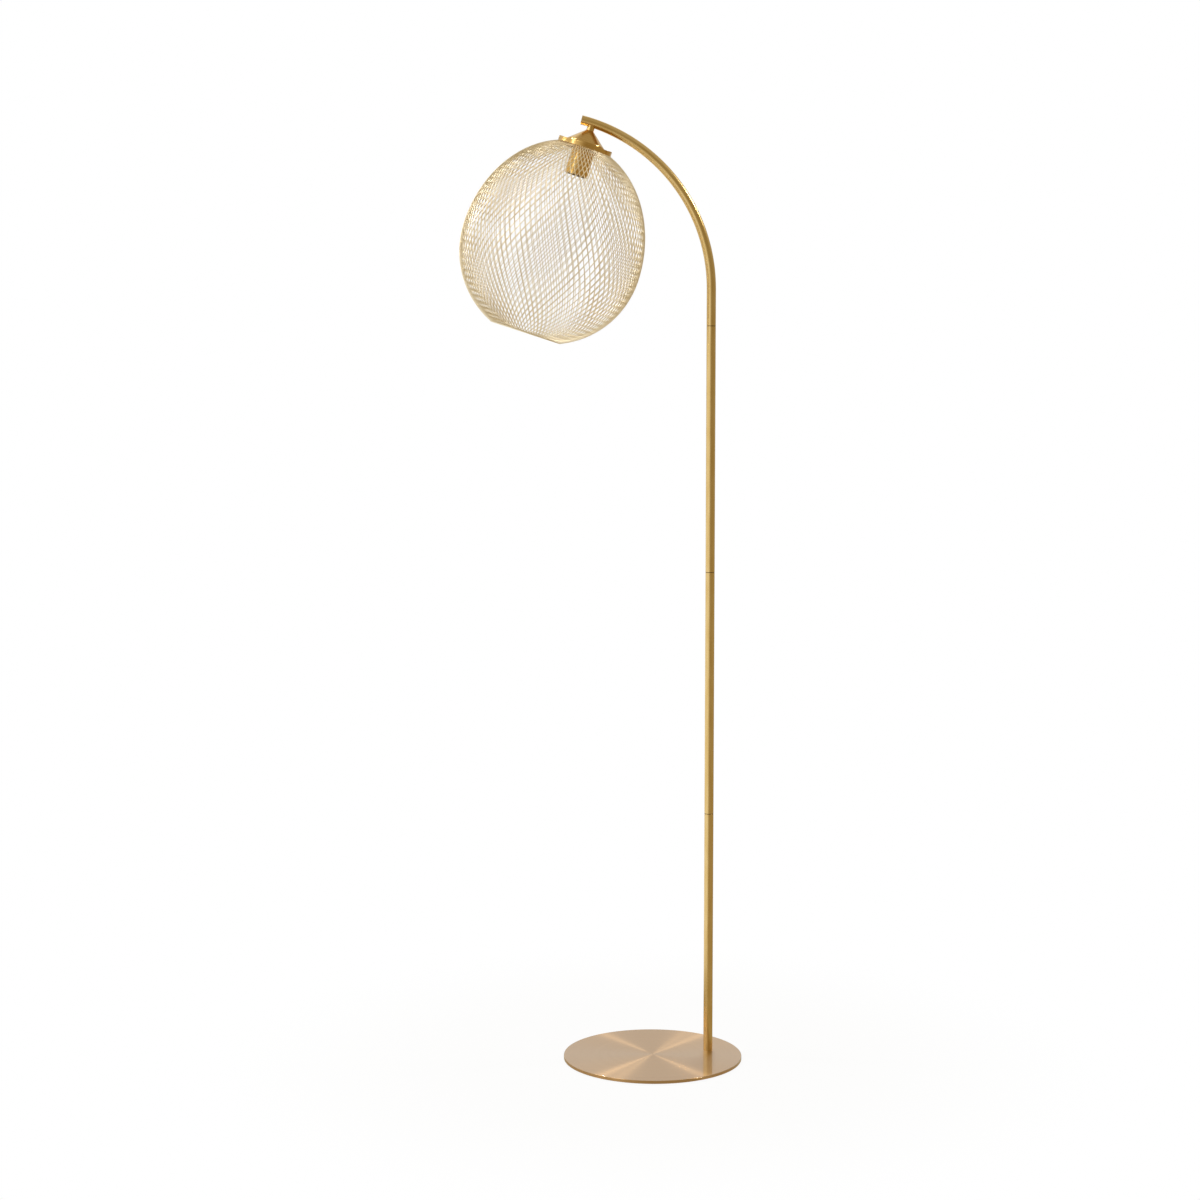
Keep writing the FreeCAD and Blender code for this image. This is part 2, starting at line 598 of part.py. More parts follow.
def make_holder():
    """Two-part bulb holder with its contact block, screw shell, centre contact and terminals."""
    cap = lathe("cap_body", [
        ("tapped_radius", "-holder_start"),
        ("holder_hollow", "-holder_start"),
        ("holder_radius", "-holder_start - holder_wall"),
        ("holder_radius", "-holder_split"),
        ("holder_hollow - thread_gap", "-holder_split"),
        ("holder_hollow - thread_gap", "-block_start"),
        ("cap_hollow", "-block_start"),
        ("cap_hollow", "-holder_start - holder_roof"),
        ("tapped_radius", "-holder_start - holder_roof"),
    ])
    finish(cap, "holder_cap", HEAD)
    body = lathe("holder_shell", [
        ("holder_hollow", "-holder_split"),
        ("holder_radius", "-holder_split"),
        ("holder_radius", "-holder_end"),
        ("shell_radius", "-holder_end"),
        ("shell_radius", "-shell_end"),
        ("holder_hollow", "-shell_end"),
    ])
    finish(body, "holder_body", HEAD)
    blank = pipe("block", "holder_hollow - thread_gap", "cable_bore / 2",
                 "-shell_start", "-block_start")
    ways = doc.addObject("Part::MultiFuse", "terminal_ways")
    ways.Shapes = [beside("terminal_way_left", "terminal_diameter / 2 + thread_gap", "-"),
                   beside("terminal_way_right", "terminal_diameter / 2 + thread_gap", "")]
    finish(cut("block_with_ways", blank, ways), "contact_block", HEAD)
    foot = "holder_hollow - thread_gap"
    shell = lathe("shell", [
        (f"{foot} - shell_sheet", "-shell_start"),
        (foot, "-shell_start"),
        (foot, "-thread_start - shell_sheet"),
        ("shell_radius - thread_gap", "-thread_start - shell_sheet"),
        ("shell_radius - thread_gap", "-shell_end + thread_gap"),
        ("lamp_thread / 2", "-shell_end + thread_gap"),
        ("lamp_thread / 2", "-thread_start"),
        (f"{foot} - shell_sheet", "-thread_start"),
    ])
    finish(shell, "screw_shell", HEAD)
    make_terminals()
    make_centre_contact()


def beside(name, radius, sign):
    """A bar through the contact block at a terminal's place."""
    made = bar(name, radius, "-shell_start", "-block_start")
    made.setExpression("Placement.Base.x", cell(f"{sign}terminal_offset"))
    return made


def make_terminals():
    """Two screws whose heads lie on the contact block, inside the cap."""
    screws = []
    for side, sign in (("left", "-"), ("right", "")):
        head = bar(f"terminal_head_{side}", "terminal_head / 2", "-block_start",
                   "-block_start + terminal_head_height")
        head.setExpression("Placement.Base.x", cell(f"{sign}terminal_offset"))
        shank = beside(f"terminal_shank_{side}", "terminal_diameter / 2", sign)
        screw = doc.addObject("Part::Fuse", f"terminal_{side}")
        screw.Base = head
        screw.Tool = shank
        screws.append(screw)
    pair = doc.addObject("Part::Compound", "terminal_pair")
    pair.Links = screws
    finish(pair, "terminal_screws", HEAD)


def make_centre_contact():
    """A sprung strip: foot on the block, riser, and a tongue across the holder's axis."""
    def strip(name, left, right, bottom, top):
        made = doc.addObject("Part::Box", name)
        made.setExpression("Length", cell(f"({right}) - ({left})"))
        made.setExpression("Width", cell("contact_width"))
        made.setExpression("Height", cell(f"({top}) - ({bottom})"))
        made.setExpression("Placement.Base.x", cell(left))
        made.setExpression("Placement.Base.y", cell("-contact_width / 2"))
        made.setExpression("Placement.Base.z", cell(bottom))
        return made

    bend, tongue_end = "-contact_tongue / 2", "contact_tongue / 2"
    tongue_bottom = "-shell_start - contact_rise"
    contact = doc.addObject("Part::MultiFuse", "contact_strip")
    contact.Shapes = [
        strip("contact_foot", f"{bend} - contact_tongue", bend,
              "-shell_start - contact_sheet", "-shell_start"),
        strip("contact_riser", f"{bend} - contact_sheet", bend, tongue_bottom, "-shell_start"),
        strip("contact_across", f"{bend} - contact_sheet", tongue_end, tongue_bottom,
              f"{tongue_bottom} + contact_sheet"),
    ]
    finish(contact, "centre_contact", HEAD)


# ---------------------------------------------------------------- globe

# The globe's meridian runs from the top ring to the mouth ring. Its angle is 0 at the widest place
# and negative above, where it is an ellipse; below it is a circle.

TRAVEL_STEPS = 200
MITRED = 1


def rise_at(angle):
    return size("globe_rise") if angle < 0 else size("globe_radius")


def pace(angle):
    """Travel along the meridian per radian."""
    return math.hypot(size("globe_radius") * math.sin(angle), rise_at(angle) * math.cos(angle))


def travel(first, last):
    """Length of the meridian between two angles, by the midpoint rule."""
    step = (last - first) / TRAVEL_STEPS
    return sum(pace(first + (number + 0.5) * step) for number in range(TRAVEL_STEPS)) * step


def wire_point(angle, start, hand, layer):
    """A point of a wire's axis in the head's frame. layer is 1 for the outer layer of wires and
    -1 for the inner one, and hand is the way that the wire winds as it goes down."""
    radius, rise = size("globe_radius"), rise_at(angle)
    out = Vector(rise * math.cos(angle), 0, -radius * math.sin(angle)).normalize()
    middle = Vector(radius * math.cos(angle), 0,
                    -size("widest_depth") - rise * math.sin(angle))
    spot = middle + out * layer * size("layer_step")
    winding = math.tan(math.radians(size("wire_lean"))) / radius
    turn = hand * winding * travel(start, angle)
    return Rotation(Vector(0, 0, 1), math.degrees(turn)).multVec(spot)


def one_wire(hand, layer):
    """A round wire swept along short mitred runs, from the top ring into the mouth ring."""
    start = -math.acos(size("neck_radius") / size("globe_radius"))
    buried = size("mouth_wire") / 2 - size("weld_sink")
    end = math.acos(size("globe_mouth") / size("globe_diameter")) - buried / size("globe_radius")
    runs = int(size("wire_runs"))
    spots = [wire_point(start + (end - start) * number / runs, start, hand, layer)
             for number in range(runs + 1)]
    section = Part.Circle(spots[0], spots[1] - spots[0], size("wire_diameter") / 2)
    sweep = Part.BRepOffsetAPI.MakePipeShell(Part.makePolygon(spots))
    sweep.setTransitionMode(MITRED)
    sweep.add(Part.Wire([section.toShape()]))
    sweep.build()
    sweep.makeSolid()
    return sweep.shape()


def make_wires(label, hand, layer):
    """One layer of equal wires round the head's axis."""
    wire = one_wire(hand, layer)
    count = int(size("wires_per_layer"))
    ring = []
    for number in range(count):
        turned = wire.copy()
        turned.rotate(Vector(), Vector(0, 0, 1), 360 * number / count)
        ring.append(turned)
    wires = doc.addObject("Part::Feature", f"{label}_layer")
    wires.Shape = Part.makeCompound(ring)
    finish(wires, label, HEAD)


def make_globe():
    """Flat top ring, mouth ring and two layers of wires that lean opposite ways."""
    ring = pipe("ring", "neck_radius", "neck_radius - top_ring_width", "-ring_bottom", "-disc_bottom")
    finish(drilled_for_screws(ring, "ring"), "globe_top_ring", HEAD)
    mouth = doc.addObject("Part::Torus", "mouth_torus")
    mouth.setExpression("Radius1", cell("globe_mouth / 2"))
    mouth.setExpression("Radius2", cell("mouth_wire / 2"))
    mouth.setExpression("Placement.Base.z", cell("-mouth_depth"))
    holder = doc.addObject("Part::Compound", "mouth_ring")
    holder.Links = [mouth]
    finish(holder, "globe_mouth_ring", HEAD)
    make_wires("globe_outer_wires", 1, 1)
    make_wires("globe_inner_wires", -1, -1)


def make_screws_and_nuts():
    """Two screws up through ring and disc, each with a low round nut on top of the disc."""
    nut_foot = "-disc_top + nut_seat_gap"
    nut_top = "-disc_top + nut_height"
    tip = f"{nut_top} - screw_end_room"
    screws = []
    for side, sign in (("left", "-"), ("right", "")):
        screw = lathe(f"screw_{side}", [
            ("0", "-ring_bottom - screw_head_height"),
            ("screw_head / 2", "-ring_bottom - screw_head_height"),
            ("screw_head / 2", "-ring_bottom"),
            ("screw_diameter / 2", "-ring_bottom"),
            ("screw_diameter / 2", tip),
            ("0", tip),
        ])
        screw.setExpression("Placement.Base.x", cell(f"{sign}screw_offset"))
        screws.append(screw)
    pair = doc.addObject("Part::Compound", "screw_pair")
    pair.Links = screws
    finish(pair, "globe_screws", HEAD)
    bore = "screw_diameter / 2 + thread_gap"
    for side, frame in (("left", LEFT_SCREW), ("right", RIGHT_SCREW)):
        nut = lathe(f"nut_{side}", [
            (bore, nut_foot),
            ("nut_diameter / 2", nut_foot),
            ("nut_diameter / 2", f"{nut_top} - nut_round", "nut_round", 1),
            ("nut_diameter / 2 - nut_round", nut_top),
            (bore, nut_top),
        ])
        finish(nut, f"globe_nut_{side}", frame)


# ---------------------------------------------------------------- build, test and export

make_base()
make_pole()
make_grommet()
make_arm()
make_neck()
make_canopy()
make_fitter_disc()
make_sleeve()
make_holder()
make_globe()
make_screws_and_nuts()
doc.recompute()

failed = [thing.Name for thing in doc.Objects if {"Invalid", "Error"} & set(thing.State)]
failed += [thing.Label for thing in sub_parts
           if thing.Shape.isNull() or not thing.Shape.isValid() or not thing.Shape.Solids]
if failed:
    raise RuntimeError(f"these did not build: {failed}")

os.makedirs(NODE_FOLDER, exist_ok=True)
for thing in sub_parts:
    thing.Shape.exportStep(os.path.join(NODE_FOLDER, f"{thing.Label}.step"))
print(f"{len(sub_parts)} sub-parts written")
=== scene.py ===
"""Looks of the wire cage floor lamp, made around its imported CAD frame.

Metres, +Z up, -Y is the front. Pieces of the head are drawn with the arm's centre line at the
origin and the head's axis along -Z, and are then leaned and lifted into place. A depth is a
distance down that axis.
"""

import json
import math

import bpy
from mathutils import Euler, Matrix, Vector


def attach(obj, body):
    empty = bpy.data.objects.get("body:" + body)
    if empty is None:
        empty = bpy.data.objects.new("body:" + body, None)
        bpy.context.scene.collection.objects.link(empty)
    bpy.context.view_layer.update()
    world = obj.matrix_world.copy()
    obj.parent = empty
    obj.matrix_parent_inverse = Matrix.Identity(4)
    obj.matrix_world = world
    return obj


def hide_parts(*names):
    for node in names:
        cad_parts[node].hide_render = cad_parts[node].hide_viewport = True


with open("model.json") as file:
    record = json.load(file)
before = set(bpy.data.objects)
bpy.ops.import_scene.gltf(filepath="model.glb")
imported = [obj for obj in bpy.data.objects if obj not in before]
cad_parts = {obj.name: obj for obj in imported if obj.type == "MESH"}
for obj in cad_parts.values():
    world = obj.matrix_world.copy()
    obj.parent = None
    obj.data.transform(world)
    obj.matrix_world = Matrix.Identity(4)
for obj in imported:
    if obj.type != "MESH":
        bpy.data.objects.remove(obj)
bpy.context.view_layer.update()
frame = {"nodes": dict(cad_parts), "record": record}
nodes = frame["nodes"]

# Pole and arm: the pole's axis, the heights of its joints, the arm's bend and its tip
POLE_X, POLE_Y = 0.092729, 0.024847
POLE_JOINTS = (0.4062, 0.8062, 1.2062)
BEND_HEIGHT = 1.2652
BEND_RADIUS = 0.278
TIP = (-0.116135, 0.024847, 1.534466)
TIP_TURN = (0.0, math.radians(-75.6), 0.0)

# Head: the point of the arm that carries it, and how it leans
NECK = (-0.099364, 0.024847, 1.529594)
HEAD_TURN = (0.0, math.radians(18), 0.0)

# Globe: half an ellipse above its widest depth and a sphere below, between two rings
GLOBE_RADIUS = 0.147
GLOBE_RISE = 0.1803
WIDEST_DEPTH = 0.215498
NECK_RADIUS = 0.046
MOUTH_RADIUS = 0.0585
MOUTH_WIRE = 0.003

# Wires of the globe: thickness, how deep they are sunk into the mouth ring, each layer's way
# out of the middle, their number and their lean
WIRE = 0.0012
WELD_SINK = 0.0001
LAYER_STEP = 0.00055
WIRES_IN_LAYER = 90
WIRE_LEAN = math.radians(26)
RUNS_IN_WIRE = 36
STEPS_IN_RUN = 24
WIRE_SIDES = 8

# Screw shell of the bulb holder
SHELL_TOP = 0.0661
SHELL_SHOULDER = 0.0696
THREAD_TOP = 0.0699
THREAD_END = 0.08425
SHELL_SHEET = 0.00045
COLLAR_RADIUS = 0.01435
THREAD_MEAN_RADIUS = 0.0128
THREAD_OFFSET = 0.0005
THREAD_STEPS = 64
STEPS_PER_TURN = 16
SHELL_SIDES = 48

SMOOTH_BELOW = math.radians(40)


# ---------------------------------------------------------------- shader helpers

class Value:
    """An output of a node. Arithmetic on it adds Math nodes to its finish."""

    def __init__(self, finish, output):
        self.finish = finish
        self.output = output

    def __add__(self, other):
        return self.finish.calculate("ADD", self, other)

    def __radd__(self, other):
        return self.finish.calculate("ADD", other, self)

    def __sub__(self, other):
        return self.finish.calculate("SUBTRACT", self, other)

    def __rsub__(self, other):
        return self.finish.calculate("SUBTRACT", other, self)

    def __mul__(self, other):
        return self.finish.calculate("MULTIPLY", self, other)

    def __rmul__(self, other):
        return self.finish.calculate("MULTIPLY", other, self)

    def __pow__(self, other):
        return self.finish.calculate("POWER", self, other)

    def __rpow__(self, other):
        return self.finish.calculate("POWER", other, self)

    def __abs__(self):
        return self.finish.calculate("ABSOLUTE", self)


class Finish:
    """A node tree that is being filled: a material's, or the world's."""

    def __init__(self, owner):
        self.owner = owner
        owner.use_nodes = True
        self.tree = owner.node_tree
        self.tree.nodes.clear()

    def node(self, kind, settings=None, sockets=None, output=0):
        """Add a node: its settings first, then the values and links of its sockets."""
        made = self.tree.nodes.new(kind)
        for key, setting in (settings or {}).items():
            setattr(made, key, setting)
        for key, content in (sockets or {}).items():
            if isinstance(content, Value):
                self.tree.links.new(content.output, made.inputs[key])
            else:
                made.inputs[key].default_value = content
        return Value(self, made.outputs[output]) if len(made.outputs) else made

    def calculate(self, operation, first, second=0.0):
        return self.node("ShaderNodeMath", {"operation": operation}, {0: first, 1: second})

    def larger(self, first, second):
        return self.calculate("MAXIMUM", first, second)

    def smaller(self, first, second):
        return self.calculate("MINIMUM", first, second)

    def angle(self, up, across):
        return self.calculate("ARCTAN2", up, across)

    def length(self, across, up):
        return (across * across + up * up) ** 0.5

    def step(self, value, low, high):
        """A smooth step from 0 at low to 1 at high."""
        return self.node("ShaderNodeMapRange", {"interpolation_type": "SMOOTHSTEP"},
                         {"Value": value, "From Min": low, "From Max": high})

    def blend(self, factor, first, second):
        """A mix of two colours."""
        return self.node("ShaderNodeMix", {"data_type": "RGBA"}, {0: factor, 6: first, 7: second},
                         output=2)

    def object_place(self):
        return self.node("ShaderNodeTexCoord", output="Object")

    def split(self, vector):
        parts = self.node("ShaderNodeSeparateXYZ", sockets={0: vector}).output.node
        return [Value(self, parts.outputs[number]) for number in range(3)]

    def join(self, x, y, z):
        return self.node("ShaderNodeCombineXYZ", sockets={0: x, 1: y, 2: z})

    def moved(self, vector, centre, turn):
        """Coordinates measured from a centre, along axes that are turned."""
        return self.node("ShaderNodeMapping", {"vector_type": "TEXTURE"},
                         {"Vector": vector, "Location": centre, "Rotation": turn})

    def noise(self, vector, scale, detail=2.0, roughness=0.5):
        return self.node("ShaderNodeTexNoise", sockets={
            "Vector": vector, "Scale": scale, "Detail": detail, "Roughness": roughness})

    def cells(self, vector, scale, output="Distance"):
        return self.node("ShaderNodeTexVoronoi", sockets={"Vector": vector, "Scale": scale},
                         output=output)

    def bump(self, height, distance, strength):
        return self.node("ShaderNodeBump", sockets={
            "Height": height, "Distance": distance, "Strength": strength})

    def light_path(self, output):
        return self.node("ShaderNodeLightPath", output=output)

    def surface(self, **sockets):
        """Finish with a Principled shader. Socket names are written with underscores."""
        named = {name.replace("_", " "): content for name, content in sockets.items()}
        shader = self.node("ShaderNodeBsdfPrincipled", sockets=named)
        self.node("ShaderNodeOutputMaterial", sockets={"Surface": shader})
        return self.owner


def new_finish(name):
    return Finish(bpy.data.materials.new(name))


def colour(red, green, blue):
    """A colour of the screen, 0 to 255, as the linear colour that a shader takes."""
    def linear(part):
        part = part / 255
        return part / 12.92 if part <= 0.04045 else ((part + 0.055) / 1.055) ** 2.4

    return (linear(red), linear(green), linear(blue), 1.0)


# ---------------------------------------------------------------- finishes

def drawn_brass():
    """Satin plated tube. Its fine lines follow the pole and then the bend."""
    f = new_finish("drawn_brass")
    x, y, z = f.split(f.object_place())
    across = x - (POLE_X - BEND_RADIUS)
    above = f.larger(z - BEND_HEIGHT, 0.0)
    out = f.length(across, above) - BEND_RADIUS
    side = y - POLE_Y
    along = f.smaller(z, BEND_HEIGHT) + f.angle(above, across) * BEND_RADIUS
    lines = f.noise(f.join(out, side, along * 0.012), scale=1400.0, detail=3.0, roughness=0.65)
    bands = f.noise(f.join(out, side, along * 0.15), scale=160.0)
    smudges = f.noise(f.join(out, side, along), scale=28.0, detail=3.0)
    lower, middle, upper = [abs(z - joint) for joint in POLE_JOINTS]
    from_joint = f.smaller(f.smaller(lower, middle), upper)
    groove = 1.0 - f.step(from_joint, 0.00025, 0.00075)
    tone = f.blend(f.step(bands, 0.35, 0.65), colour(224, 192, 126), colour(232, 203, 142))
    tone = f.blend(smudges * 0.35, tone, colour(212, 174, 106))
    tone = f.blend(groove * 0.85, tone, colour(84, 58, 28))
    return f.surface(
        Base_Color=tone, Metallic=1.0,
        Roughness=0.21 + lines * 0.04 + smudges * 0.05,
        Normal=f.bump(bands, distance=0.00001, strength=0.15))


def spun_brass(name, centre, turn):
    """Polished fitting with the fine rings of the lathe round its own axis."""
    f = new_finish(name)
    x, y, z = f.split(f.moved(f.object_place(), centre, turn))
    from_axis = f.join(f.length(x, y), z, 0.0)
    rings = f.noise(from_axis, scale=2200.0, roughness=0.6)
    bands = f.noise(from_axis, scale=240.0, detail=1.0)
    smudges = f.noise(f.object_place(), scale=45.0, detail=3.0)
    tone = f.blend(f.step(bands, 0.35, 0.65), colour(216, 176, 104), colour(224, 188, 120))
    tone = f.blend(smudges * 0.4, tone, colour(202, 160, 90))
    return f.surface(
        Base_Color=tone, Metallic=1.0,
        Roughness=0.14 + rings * 0.05 + smudges * 0.06,
        Normal=f.bump(rings, distance=0.000012, strength=0.6))


def brushed_disc():
    """Champagne plate, brushed in rings round its centre, under a clear gloss coat."""
    f = new_finish("brushed_disc")
    x, y = f.split(f.object_place())[:2]
    radius = f.length(x, y)
    turn = f.angle(y, x)
    rings = f.noise(f.join(radius, turn * 0.004, 0.0), scale=1500.0, detail=3.0, roughness=0.7)
    bands = f.noise(f.join(radius, turn * 0.002, 0.0), scale=130.0)
    smudges = f.noise(f.object_place(), scale=14.0, detail=3.0)
    tone = f.blend(f.step(bands, 0.3, 0.7), colour(212, 170, 118), colour(214, 173, 122))
    tone = f.blend(smudges * 0.3, tone, colour(206, 163, 110))
    return f.surface(
        Base_Color=tone, Metallic=1.0,
        Roughness=0.31 + rings * 0.03,
        Anisotropic=1.0, Anisotropic_Rotation=0.25,
        Coat_Weight=1.0, Coat_Roughness=0.03, Coat_IOR=1.8,
        Normal=f.bump(rings, distance=0.00001, strength=0.4))


def pale_wire():
    """Plated cage wire, a paler gold than the fittings."""
    f = new_finish("pale_wire")
    place = f.object_place()
    grain = f.noise(place, scale=900.0)
    patches = f.noise(place, scale=60.0)
    tone = f.blend(f.step(patches, 0.35, 0.65), colour(236, 222, 192), colour(242, 230, 202))
    tone = f.blend(grain * 0.25, tone, colour(226, 208, 172))
    return f.surface(
        Base_Color=tone, Metallic=1.0, Roughness=0.40 + grain * 0.12,
        Normal=f.bump(grain, distance=0.00001, strength=0.4))


def zinc():
    """Zinc plate with faint spangles."""
    f = new_finish("zinc_plate")
    place = f.object_place()
    spangle = f.split(f.cells(place, scale=380.0, output="Color"))[0]
    haze = f.noise(place, scale=160.0, detail=3.0)
    tone = f.blend(spangle, colour(196, 200, 204), colour(214, 216, 214))
    tone = f.blend(haze * 0.3, tone, colour(186, 184, 172))
    return f.surface(
        Base_Color=tone, Metallic=1.0, Roughness=0.28 + haze * 0.16,
        Normal=f.bump(haze, distance=0.00002, strength=0.4))


def foam():
    """Dense black foam with small cells."""
    f = new_finish("pad_foam")
    place = f.object_place()
    cells = f.cells(place, scale=1300.0)
    wear = f.noise(place, scale=30.0, detail=3.0)
    tone = f.blend(f.step(cells, 0.0, 0.6), colour(24, 24, 25), colour(52, 51, 50))
    tone = f.blend(wear * 0.3, tone, colour(70, 68, 64))
    return f.surface(
        Base_Color=tone, Roughness=0.85 + cells * 0.1,
        Normal=f.bump(cells, distance=0.0001, strength=0.7))


def moulded_black():
    """Black moulded plastic with a fine spark-eroded grain."""
    f = new_finish("moulded_black")
    place = f.object_place()
    grain = f.noise(place, scale=2600.0, detail=3.0, roughness=0.6)
    haze = f.noise(place, scale=60.0)
    tone = f.blend(haze, colour(33, 32, 31), colour(46, 45, 43))
    return f.surface(
        Base_Color=tone, Roughness=0.42 + grain * 0.18,
        Normal=f.bump(grain, distance=0.00003, strength=0.6))


def ceramic():
    """White glazed ceramic with small specks."""
    f = new_finish("glazed_ceramic")
    place = f.object_place()
    specks = f.step(f.noise(place, scale=1400.0, detail=1.0), 0.70, 0.76)
    haze = f.noise(place, scale=90.0, detail=3.0)
    tone = f.blend(haze, colour(236, 234, 227), colour(243, 242, 238))
    tone = f.blend(specks * 0.5, tone, colour(178, 168, 150))
    return f.surface(
        Base_Color=tone, Roughness=0.18 + haze * 0.14,
        Normal=f.bump(haze, distance=0.00005, strength=0.3))


def contact_brass():
    """Dull nickelled brass of the bulb contacts."""
    f = new_finish("contact_brass")
    place = f.object_place()
    haze = f.noise(place, scale=220.0, detail=3.0)
    marks = f.noise(place, scale=2000.0, detail=1.0)
    tone = f.blend(f.step(haze, 0.35, 0.7), colour(214, 203, 176), colour(190, 168, 120))
    return f.surface(
        Base_Color=tone, Metallic=1.0, Roughness=0.26 + haze * 0.15,
        Normal=f.bump(marks, distance=0.00001, strength=0.4))


finish_of = {
    "brushed_base": brushed_disc(),
    "brass_tube": drawn_brass(),
    "brass_fitting": spun_brass("spun_brass", NECK, HEAD_TURN),
    "cage_wire": pale_wire(),
    "zinc_steel": zinc(),
    "floor_pad": foam(),
    "black_plastic": moulded_black(),
    "white_ceramic": ceramic(),
    "contact_metal": contact_brass(),
}
for row in frame["record"]["subparts"]:
    held = nodes[row["node"]].data.materials
    held.clear()
    held.append(finish_of[row["material_slot"]])
nodes["arm_end_plug"].data.materials[0] = spun_brass("end_plug_brass", TIP, TIP_TURN)


# ---------------------------------------------------------------- modelling helpers

def nothing_selected():
    """Leave edit mode and deselect all, the CAD nodes among it."""
    if bpy.context.object and bpy.context.object.mode != "OBJECT":
        bpy.ops.object.mode_set(mode="OBJECT")
    bpy.ops.object.select_all(action="DESELECT")


def edit():
    bpy.ops.object.mode_set(mode="EDIT")
    bpy.ops.mesh.select_all(action="SELECT")


def extrude(way):
    bpy.ops.mesh.extrude_region_move(TRANSFORM_OT_translate={"value": way})


def faces_outwards():
    bpy.ops.mesh.select_all(action="SELECT")
    bpy.ops.mesh.normals_make_consistent(inside=False)


def place_into_mesh():
    bpy.ops.object.mode_set(mode="OBJECT")
    bpy.ops.object.transform_apply(location=True, rotation=True, scale=True)


def drawn_along(stations, radius, sides):
    """A round bar, drawn out section by section along points of its axis."""
    ways = [(after - before).normalized()
            for before, after in zip(stations[:1] + stations[:-1], stations[1:] + stations[-1:])]
    bpy.ops.mesh.primitive_circle_add(
        vertices=sides, radius=radius, fill_type="NGON", location=stations[0],
        rotation=ways[0].to_track_quat("Z", "Y").to_euler())
    edit()
    for here, there, way, next_way in zip(stations, stations[1:], ways, ways[1:]):
        extrude(there - here)
        for axis, angle in zip("XYZ", way.rotation_difference(next_way).to_euler()):
            bpy.ops.transform.rotate(value=-angle, orient_axis=axis, center_override=there)


def into_head(name, slot, node):
    """Lean and lift a piece that is drawn in the head's frame, and give it a node's place."""
    place_into_mesh()
    piece = bpy.context.object
    piece.name = piece.data.name = name
    piece.rotation_euler = HEAD_TURN
    piece.location = NECK
    place_into_mesh()
    bpy.ops.object.shade_smooth_by_angle(angle=SMOOTH_BELOW)
    piece.data.materials.append(finish_of[slot])
    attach(piece, "arm")
    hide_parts(node)


# ---------------------------------------------------------------- globe wires

def wire_stations(hand, layer):
    """Points of one wire's axis, from the top ring down to the mouth ring."""
    def rise(angle):
        return GLOBE_RISE if angle < 0 else GLOBE_RADIUS

    def pace(angle):
        return math.hypot(GLOBE_RADIUS * math.sin(angle), rise(angle) * math.cos(angle))

    start = -math.acos(NECK_RADIUS / GLOBE_RADIUS)
    buried = MOUTH_WIRE / 2 - WELD_SINK
    end = math.acos(MOUTH_RADIUS / GLOBE_RADIUS) - buried / GLOBE_RADIUS
    step = (end - start) / (RUNS_IN_WIRE * STEPS_IN_RUN)
    travelled = 0.0
    stations = []
    for number in range(RUNS_IN_WIRE * STEPS_IN_RUN + 1):
        angle = start + step * number
        if number % STEPS_IN_RUN == 0:
            out = Vector((rise(angle) * math.cos(angle), 0.0,
                          -GLOBE_RADIUS * math.sin(angle))).normalized()
            spot = Vector((GLOBE_RADIUS * math.cos(angle), 0.0,
                           -WIDEST_DEPTH - rise(angle) * math.sin(angle)))
            turn = hand * math.tan(WIRE_LEAN) / GLOBE_RADIUS * travelled
            stations.append(Euler((0.0, 0.0, turn)).to_matrix() @ (spot + out * layer * LAYER_STEP))
        travelled += pace(angle + step / 2) * step
    return stations


def wire_layer(name, node, hand, layer):
    """One wire of a layer, copied round the head's axis."""
    nothing_selected()
    drawn_along(wire_stations(hand, layer), WIRE / 2, WIRE_SIDES)
    place_into_mesh()
    edit()
    bpy.ops.mesh.spin(steps=WIRES_IN_LAYER - 1, dupli=True, center=(0, 0, 0), axis=(0, 0, 1),
                      angle=math.tau * (WIRES_IN_LAYER - 1) / WIRES_IN_LAYER)
    faces_outwards()
    into_head(name, "cage_wire", node)


wire_layer("outer_cage_wires", "globe_outer_wires", hand=1, layer=1)
wire_layer("inner_cage_wires", "globe_inner_wires", hand=-1, layer=-1)


# ---------------------------------------------------------------- bulb holder's thread

def socket_thread():
    """Screw shell with its rolled round thread. A ring beside the axis is drawn down in small
    steps and turned about the axis at each, which winds it into a screw."""
    nothing_selected()
    bpy.ops.mesh.primitive_circle_add(vertices=SHELL_SIDES, radius=COLLAR_RADIUS,
                                      fill_type="NOTHING", location=(0.0, 0.0, -SHELL_TOP))
    edit()
    extrude((0.0, 0.0, SHELL_TOP - SHELL_SHOULDER))
    extrude((THREAD_OFFSET, 0.0, SHELL_SHOULDER - THREAD_TOP))
    narrow = THREAD_MEAN_RADIUS / COLLAR_RADIUS
    bpy.ops.transform.resize(value=(narrow, narrow, 1.0),
                             center_override=(THREAD_OFFSET, 0.0, -THREAD_TOP))
    for _ in range(THREAD_STEPS):
        extrude((0.0, 0.0, (THREAD_TOP - THREAD_END) / THREAD_STEPS))
        bpy.ops.transform.rotate(value=-math.tau / STEPS_PER_TURN, orient_axis="Z",
                                 center_override=(0.0, 0.0, 0.0))
    faces_outwards()
    bpy.ops.object.mode_set(mode="OBJECT")
    bpy.ops.object.modifier_add(type="SOLIDIFY")
    sheet = bpy.context.object.modifiers[0]
    sheet.thickness = SHELL_SHEET
    sheet.offset = 1.0
    bpy.ops.object.modifier_apply(modifier=sheet.name)
    into_head("socket_thread", "contact_metal", "screw_shell")


socket_thread()


# ---------------------------------------------------------------- floor and room

WHITE = (1.0, 1.0, 1.0, 1.0)
ROOM = (0.36, 0.295, 0.175, 1.0)
ROOM_FLOOR = (0.44, 0.36, 0.215, 1.0)

